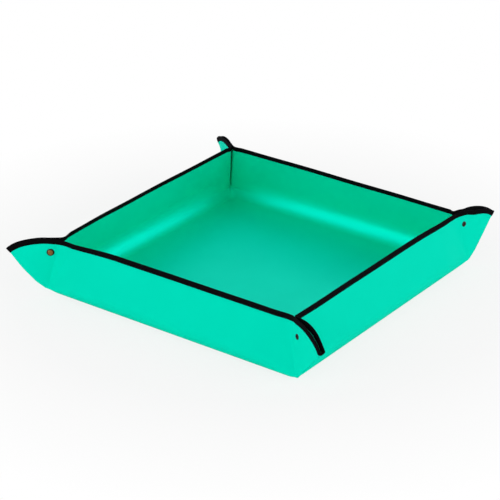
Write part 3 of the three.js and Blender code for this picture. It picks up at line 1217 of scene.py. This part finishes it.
@dataclass(frozen=True)
class EdgeBinding:
    """The tape folded over the sheet's edge, and its line of stitches, in metres."""

    # The number of a point of the section that lies on the tape's inside face.
    FACE_POINT = 6
    NOSE_STEPS = 6
    THREAD_SIDES = 6
    THREAD_SIDE = 0.0002
    # How thick a stitch is at its ends and between them, and how much of it stands out of its groove.
    SWELL = np.array([0.35, 1.0, 1.0, 0.35])
    THREAD_PROUD = 0.35

    cloth: float
    width: float
    tape: float = 0.0005
    fit: float = 0.00005
    crown: float = 0.00022
    past_edge: float = 0.0005
    stitch_in: float = 0.0066
    stitch_groove: float = 0.00018
    stitch_length: float = 0.0027
    stitch_pitch: float = 0.0036
    thread: float = 0.00026

    @property
    def slot(self) -> float:
        """How far from the cloth's middle the tape lies."""
        return self.cloth / 2 + self.fit

    @property
    def groove(self) -> float:
        """The height of the groove that the stitches pull into the tape."""
        return self.slot + self.tape - self.stitch_groove

    def outline(self) -> Array:
        """The tape's section as rows of distance in from the edge and height from the cloth's middle.

        Returns:
            One closed loop, from the hem on the inside, over the edge and back.
        """
        slot, groove, width = self.slot, self.groove, self.width
        face = slot + self.tape
        over = [
            (width, face - 0.00012),
            (width - 0.0003, face),
            (self.stitch_in + 0.0008, face),
            (self.stitch_in + 0.0004, groove),
            (self.stitch_in - 0.0004, groove),
            (self.stitch_in - 0.0010, face + self.crown * 0.5),
            (width * 0.45, face + self.crown),
            (width * 0.15, face + self.crown),
        ]
        edge = face + self.crown
        centre = edge - self.past_edge
        for i in range(1, self.NOSE_STEPS):
            angle = math.pi / 2 * i / self.NOSE_STEPS
            over.append((centre - edge * math.sin(angle), edge * math.cos(angle)))
        nose = [(centre - edge, 0.0)]
        under = [(w, -h) for w, h in reversed(over)]
        back = [(width, -slot), (width * 0.5, -slot), (0.0006, -slot), (0.0001, -slot * 0.5)]
        forth = [(w, -h) for w, h in reversed(back)]
        return np.array(over + nose + under + back + forth)

    def build(self, name: str, panel: BoundPanel, materials: Sequence[Material]) -> Piece:
        """Makes the binding of a panel's edge.

        Args:
            name: The piece's name.
            panel: The panel whose edge it covers.
            materials: The tape and the thread.

        Returns:
            The object.
        """
        edge, inward = panel.rim()
        section = self.outline()
        size = len(section)
        flat = (edge[:, None] + inward[:, None] * section[:, :1]).reshape(-1, 2)
        points = panel.surface(flat) + panel.normals(flat) * np.tile(section[:, 1], len(edge))[:, None]
        grid = points.reshape(len(edge), size, 3)
        around = np.roll(grid, -1, axis=1) - np.roll(grid, 1, axis=1)
        normal = unit(np.cross(around, np.gradient(grid, axis=0)))
        through = grid[:, self.FACE_POINT] - grid[:, self.FACE_POINT - size // 2]
        flipped = bool(np.sum(normal[:, self.FACE_POINT] * through) <= 0)
        lengths = np.meshgrid(run_along(grid[:, size // 4]), run_along(section), indexing="ij")
        parts = MeshParts()
        parts.add_tube(grid, -normal if flipped else normal, np.stack(lengths, axis=-1), flipped)
        self.add_stitches(parts, panel, edge + inward * self.stitch_in)
        return parts.build(name, materials)

    def add_stitches(self, parts: MeshParts, panel: BoundPanel, line: Array) -> None:
        """Adds a row of stitches to both faces of the binding, each a short closed thread.

        Args:
            parts: The mesh that gets them.
            panel: The panel whose edge is bound.
            line: The seam's flat places.
        """
        run = run_along(line)
        starts = np.arange(self.stitch_pitch * 0.5, run[-1] - self.stitch_pitch, self.stitch_pitch)
        spans = np.linspace(0.0, self.stitch_length, len(self.SWELL))
        sides = np.arange(self.THREAD_SIDES)
        angles = (sides * 2 * math.pi / self.THREAD_SIDES)[:, None]
        for face in (1.0, -1.0):
            for start in starts:
                places = start + spans
                flat = np.stack([np.interp(places, run, line[:, k]) for k in (0, 1)], axis=1)
                normal = panel.normals(flat) * face
                base = panel.surface(flat) + normal * (self.groove + self.thread * self.THREAD_PROUD)
                across = np.cross(normal, unit(np.gradient(base, axis=0)))
                ring = across[:, None] * np.cos(angles) + normal[:, None] * np.sin(angles)
                points = base[:, None] + ring * (self.thread * self.SWELL)[:, None, None]
                flats = np.stack(np.meshgrid(places, sides * self.THREAD_SIDE, indexing="ij"), axis=-1)
                parts.add_tube(points, ring, flats, flipped=True, slot=1)


@dataclass(frozen=True)
class SnapFastener:
    """The four pressed pieces of a snap, in metres, each turned about the snap's own axis."""

    SEGMENTS = 40
    WELD = 1e-6
    EDGE_RADIUS = 0.00006
    SHARP_ANGLE = math.radians(40)
    SMOOTH_ANGLE = math.radians(35)

    cloth: float
    fit: float = 0.00005
    cap_radius: float = 0.00625
    cap_height: float = 0.0025
    # Out from this radius the cap's rim takes the painted shade of its rolled lip.
    bright_radius: float = 0.0045
    post_radius: float = 0.0022
    socket_radius: float = 0.0056
    socket_height: float = 0.0018
    ball_radius: float = 0.0031
    ball_height: float = 0.0013
    flange_radius: float = 0.0046
    flange_height: float = 0.0005
    eyelet_radius: float = 0.0046
    eyelet_height: float = 0.0011
    eyelet_hole: float = 0.0015

    @property
    def seat(self) -> float:
        """How far from the cloth's middle the metal sits."""
        return self.cloth / 2 + self.fit

    def cap(self) -> list[Pair]:
        """Draws the domed cap outside the cloth, with a rolled lip, and its post through the cloth.

        Returns:
            Its rings, as radius and height.
        """
        base, top = -self.seat, -self.seat - self.cap_height
        radius = self.cap_radius
        return [
            (radius * 0.18, top),
            (radius * 0.45, top + 0.00012),
            (radius * 0.68, top + 0.00042),
            (radius * 0.86, top + 0.00096),
            (radius * 0.96, top + 0.00165),
            (radius, top + 0.00205),
            (radius * 0.985, base - 0.00012),
            (radius * 0.94, base),
            (self.post_radius, base),
            (self.post_radius, self.seat + 0.0003),
        ]

    def socket(self) -> list[Pair]:
        """Draws the ring that grips the ball, open in the middle.

        Returns:
            Its rings, as radius and height.
        """
        base, mouth = self.seat, self.seat + self.socket_height
        bore, rim = self.ball_radius + 0.0006, self.socket_radius
        return [
            (bore, base),
            (rim, base),
            (rim, base + 0.0007),
            (rim - 0.0003, base + 0.0011),
            (rim - 0.0010, base + 0.0011),
            (rim - 0.0012, mouth - 0.0003),
            (bore + 0.0003, mouth),
            (bore, mouth - 0.0002),
        ]

    def stud(self) -> list[Pair]:
        """Draws the flange and the hollow ball that presses into the socket.

        Returns:
            Its rings, as radius and height.
        """
        base = self.seat
        flange = base + self.flange_height
        tip = flange + self.ball_height
        bore, rim, ball = self.post_radius - 0.0004, self.flange_radius, self.ball_radius
        return [
            (bore, base),
            (rim - 0.0002, base),
            (rim, base + 0.0002),
            (rim - 0.0002, flange),
            (ball - 0.0003, flange),
            (ball - 0.00035, flange + 0.0003),
            (ball, flange + 0.0007),
            (ball - 0.0002, tip - 0.0002),
            (ball - 0.0006, tip),
            (bore, tip),
        ]

    def eyelet(self) -> list[Pair]:
        """Draws the rolled ring outside the cloth, with its barrel, which ends blind; the painted shade on it
        stands for the dark of the hole.

        Returns:
            Its rings, as radius and height.
        """
        base, face = -self.seat, -self.seat - self.eyelet_height
        hole, rim, barrel = self.eyelet_hole, self.eyelet_radius, self.post_radius - 0.0005
        return [
            (hole - 0.0001, base - 0.00005),
            (hole, face + 0.0006),
            (hole + 0.00035, face + 0.00012),
            (hole + 0.0009, face),
            (rim - 0.0012, face + 0.00015),
            (rim - 0.0004, face + 0.0005),
            (rim, face + 0.0009),
            (rim - 0.0001, base),
            (barrel, base),
            (barrel, self.seat),
        ]

    def turned(self, name: str, outline: Sequence[Pair], bored: bool) -> Piece:
        """Turns a piece ring by ring from an outline of radius and height.

        Args:
            name: The piece's name.
            outline: Its rings.
            bored: Whether the outline closes on itself round a hole.

        Returns:
            The object, on the Z axis.
        """
        bpy.ops.object.select_all(action="DESELECT")
        radius, height = outline[0]
        fill = "NOTHING" if bored else "NGON"
        bpy.ops.mesh.primitive_circle_add(
            vertices=self.SEGMENTS, radius=radius, fill_type=fill, location=(0, 0, height)
        )
        piece = bpy.context.active_object
        piece.name = name
        piece.data.name = name
        bpy.ops.object.transform_apply(location=True, rotation=True, scale=True)
        bpy.ops.object.mode_set(mode="EDIT")
        bpy.ops.mesh.select_all(action="SELECT")
        extrude = bpy.ops.mesh.extrude_edges_move if bored else bpy.ops.mesh.extrude_region_move
        for next_radius, next_height in [*outline[1:], outline[0]] if bored else outline[1:]:
            extrude(TRANSFORM_OT_translate={"value": (0, 0, next_height - height)})
            ratio = next_radius / radius
            bpy.ops.transform.resize(value=(ratio, ratio, 1), center_override=(0, 0, next_height))
            radius, height = next_radius, next_height
        bpy.ops.mesh.select_all(action="SELECT")
        bpy.ops.mesh.remove_doubles(threshold=self.WELD)
        bpy.ops.mesh.normals_make_consistent(inside=False)
        bpy.ops.object.mode_set(mode="OBJECT")
        bevel = piece.modifiers.new("soft_edges", "BEVEL")
        bevel.width, bevel.segments, bevel.limit_method = self.EDGE_RADIUS, 2, "ANGLE"
        bevel.angle_limit = self.SHARP_ANGLE
        bpy.ops.object.modifier_apply(modifier=bevel.name)
        bpy.ops.object.shade_smooth_by_angle(angle=self.SMOOTH_ANGLE)
        return piece


class RepottingMat:
    """The whole mat: its cloth, binding and snaps, each on its body."""

    def __init__(self, pattern: FlatPattern, motion: FoldMotion) -> None:
        """Mixes the finishes, and fits the binding and the snaps to the cloth.

        Args:
            pattern: The flat pattern.
            motion: How the mat opens.
        """
        self.pattern = pattern
        self.motion = motion
        self.cloth = [CoatedCloth().material(), CLOTH_BACK.material()]
        self.tape = [BindingTape().material(), SewingThread().material()]
        # The second is the brass in painted shade.
        self.metals = [AgedBrass().material(), SHADED_BRASS.material()]
        self.binding = EdgeBinding(pattern.cloth, pattern.binding_width)
        self.snap = SnapFastener(pattern.cloth)

    def ear_fold(self, wall: Wall, end: End) -> EarFold:
        """Works out how one layer of an ear folds.

        Args:
            wall: The wall that it belongs to.
            end: The wall's end that it is at.

        Returns:
            Its fold.
        """
        other_wall, other_end = Wall((wall.value + end.value) % len(Wall)), End(-end.value)
        fold, other = (
            self.motion.fold_of(f"{w.label}_side_{e.label}_ear")
            for w, e in ((wall, end), (other_wall, other_end))
        )
        spread = self.pattern.layer_pitch / (math.sin(fold) + math.sin(other))
        return EarFold(fold, spread, EAR_SHAPES[corner_at(wall, end)])

    @staticmethod
    def stand_for(piece: Piece, node: str, slot: str) -> None:
        """Hides a piece's node of the frame, and logs the piece's number of faces.

        Args:
            piece: The piece.
            node: The node's name.
            slot: The node's material slot; not used.
        """
        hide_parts(node)
        LOG.info("%s: %d faces", piece.name, len(piece.data.polygons))

    def build_floor(self) -> None:
        """Makes the floor."""
        piece = FloorPanel(self.pattern).build("floor_cloth", self.cloth)
        self.stand_for(piece, "floor_panel", "coated_cloth")
        self.motion.settle_floor(piece, self.pattern)

    def build_raised(self, panel: BoundPanel, name: str, rim: str, body: str) -> None:
        """Makes a raised panel's cloth and its binding.

        Args:
            panel: The panel.
            name: The cloth's node.
            rim: The edge that the binding's node is named for.
            body: The body that both belong to.
        """
        cloth = panel.build(f"{name}_cloth", self.cloth)
        self.stand_for(cloth, name, "coated_cloth")
        tape = self.binding.build(f"{rim}_tape", panel, self.tape)
        self.stand_for(tape, f"{rim}_binding", "edge_binding")
        for piece in (cloth, tape):
            self.motion.lay_flat(piece, body)
        panel.flat_size()
        panel.flat_area()

    def build_wall(self, wall: Wall) -> None:
        """Makes a raised side with its rim binding, and its two ear layers with their halves of the snaps.

        Args:
            wall: The side.
        """
        folds = {end: self.ear_fold(wall, end) for end in End}
        name, body = f"{wall.label}_wall", f"{wall.label}_side"
        panel = WallPanel(self.pattern, wall, folds)
        self.build_raised(panel, name, f"{wall.label}_rim", body)
        for end, fold in folds.items():
            ear = EarPanel(self.pattern, wall, end, fold)
            ear_name, ear_body = f"{name}_{end.label}_ear", f"{body}_{end.label}_ear"
            self.build_raised(ear, ear_name, ear_name, ear_body)
            self.build_snap(corner_at(wall, end), end, ear.snap_place(), ear_body)

    def build_snap(self, corner: str, end: End, place: Matrix, body: str) -> None:
        """Makes one half of a corner's snap.

        Args:
            corner: The corner's name.
            end: The wall's end, which says which half it carries.
            place: The snap's place on the ear's layer.
            body: The ear layer's body.
        """
        if end is End.LEFT:
            pieces = {"cap": (self.snap.cap(), False), "socket": (self.snap.socket(), True)}
        else:
            pieces = {"stud": (self.snap.stud(), True), "eyelet": (self.snap.eyelet(), False)}
        for label, (outline, bored) in pieces.items():
            piece = self.snap.turned(f"{corner}_{label}", outline, bored)
            for metal in self.metals:
                piece.data.materials.append(metal)
            # Faces out from this radius take the brass in painted shade: the cap's rim under its rolled lip,
            # and the whole eyelet.
            bright = {"cap": self.snap.bright_radius, "eyelet": 0.0}.get(label, math.inf)
            for face in piece.data.polygons:
                face.material_index = int(face.center.xy.length > bright)
            piece.data.transform(place)
            self.stand_for(piece, f"{corner}_snap_{label}", "snap_brass")
            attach(piece, body)

    def build(self) -> None:
        """Makes every piece of the mat."""
        self.build_floor()
        for wall in Wall:
            self.build_wall(wall)


@dataclass(frozen=True)
class Softbox:
    """A square light that faces the mat, placed by degrees from the front and up, and by metres.

    One that only gleams is cool and shows in reflections only.
    """

    GLEAM_COLOUR = (0.45, 0.65, 1.0)

    name: str
    azimuth: float
    elevation: float
    watts: float
    size: float = 1.6
    distance: float = 2.6
    gleam: bool = False

    def hang(self) -> None:
        """Adds the light to the scene."""
        light = bpy.data.lights.new(self.name, "AREA")
        light.energy, light.size = self.watts, self.size
        lamp = bpy.data.objects.new(self.name, light)
        back = direction(self.azimuth, self.elevation)
        lamp.location = back * self.distance
        lamp.rotation_euler = back.to_track_quat("Z", "Y").to_euler()
        if self.gleam:
            light.color = self.GLEAM_COLOUR
            lamp.visible_diffuse = False
        bpy.context.scene.collection.objects.link(lamp)


LAMPS = (
    Softbox("front_softbox", azimuth=-5, elevation=16, watts=32),
    Softbox("right_softbox", azimuth=98, elevation=16, watts=32),
    Softbox("back_softbox", azimuth=192, elevation=13, watts=17),
    Softbox("left_softbox", azimuth=262, elevation=13, watts=17),
    # Two broad lamps gleam in the inner bends, and one, hung close, on the front of the floor.
    Softbox("back_gleam", azimuth=144, elevation=26, watts=150, size=4.0, gleam=True),
    Softbox("left_gleam", azimuth=317, elevation=40, watts=145, size=4.0, gleam=True),
    Softbox("far_gleam", azimuth=216, elevation=46, watts=3.8, size=0.9, distance=1.2, gleam=True),
)


@dataclass(frozen=True)
class Studio:
    """A plain pale floor, soft light and the camera."""

    azimuth: float = 36.40
    elevation: float = 25.98
    distance: float = 3.376
    lens: float = 148.0
    sensor: float = 36.0
    aim_right: float = -0.0172
    aim_up: float = 0.0482
    room_light: float = 0.38
    floor_size: float = 8.0
    floor_drop: float = 0.0002

    @staticmethod
    def seen(tree: Tree) -> Socket:
        """Tells what the camera sees, straight or by reflection, from what only gives light.

        Args:
            tree: The tree of the floor's material or of the room.

        Returns:
            A socket that is 1 for the first and 0 for the second.
        """
        path = add_node(tree, "LightPath", {}).node.outputs
        rays = {0: path["Is Camera Ray"], 1: path["Is Glossy Ray"]}
        mirrored = add_node(tree, "Math", rays, operation="MAXIMUM")
        return add_node(tree, "Math", {0: mirrored, 1: path["Is Transmission Ray"]}, operation="MAXIMUM")

    def build_floor(self) -> None:
        """Lays the pale floor, which takes the mat's shadow and goes over into the white room."""
        bpy.ops.object.select_all(action="DESELECT")
        bpy.ops.mesh.primitive_plane_add(size=self.floor_size, location=(0, 0, -self.floor_drop))
        floor = bpy.context.active_object
        floor.name = "studio_floor"
        bpy.ops.object.transform_apply(location=True, rotation=True, scale=True)
        material, tree, shader = new_material("pale_studio_floor")
        pale = linear_colour("#F0F0F0")
        feed(tree, shader, {"Base Color": pale, "Roughness": 0.9, "Specular IOR Level": 0.0})
        place = add_node(tree, "TexCoord", {}, "Object")
        away = add_node(tree, "VectorMath", {0: place}, "Value", operation="LENGTH")
        fading = {"Value": away, "From Min": 0.4, "From Max": 0.7, "To Min": 0.82, "To Max": 1.0}
        fade = add_node(tree, "MapRange", fading)
        share = add_node(tree, "Math", {0: fade, 1: self.seen(tree)}, operation="MULTIPLY")
        white = add_node(tree, "Emission", {"Strength": 1.0})
        mixed = add_node(tree, "MixShader", {0: share, 1: shader.outputs[0], 2: white})
        feed(tree, tree.nodes["Material Output"], {"Surface": mixed})
        floor.data.materials.append(material)

    def build_lights(self) -> None:
        """Fills the white room with light and hangs the softboxes."""
        world = bpy.data.worlds.new("soft_white_room")
        bpy.context.scene.world = world
        world.use_nodes = True
        tree = world.node_tree
        levels = {"Value": self.seen(tree), "To Min": self.room_light, "To Max": 1.0}
        strength = add_node(tree, "MapRange", levels)
        feed(tree, tree.nodes["Background"], {"Color": (1, 1, 1, 1), "Strength": strength})
        for lamp in LAMPS:
            lamp.hang()

    def build_camera(self) -> None:
        """Sets the camera at the photograph's viewing angle."""
        camera = bpy.data.objects.new("camera", bpy.data.cameras.new("camera"))
        camera.data.lens, camera.data.sensor_width = self.lens, self.sensor
        camera.data.clip_end = 100.0
        back = direction(self.azimuth, self.elevation)
        right = direction(self.azimuth + 90, 0)
        aim = right * self.aim_right + back.cross(right) * self.aim_up
        camera.location = aim + back * self.distance
        camera.rotation_euler = back.to_track_quat("Z", "Y").to_euler()
        bpy.context.scene.collection.objects.link(camera)
        bpy.context.scene.camera = camera

    def build(self) -> None:
        """Sets the stage."""
        bpy.context.scene.view_settings.view_transform = "Standard"
        self.build_floor()
        self.build_lights()
        self.build_camera()


def main() -> None:
    """Builds the mat and its stage."""
    logging.basicConfig(level=logging.INFO, format="%(message)s")
    motion = FoldMotion(frame["joints"], frame["record"]["behaviour"]["couplings"])
    RepottingMat(FlatPattern(), motion).build()
    Studio().build()


if __name__ == "__main__":
    main()
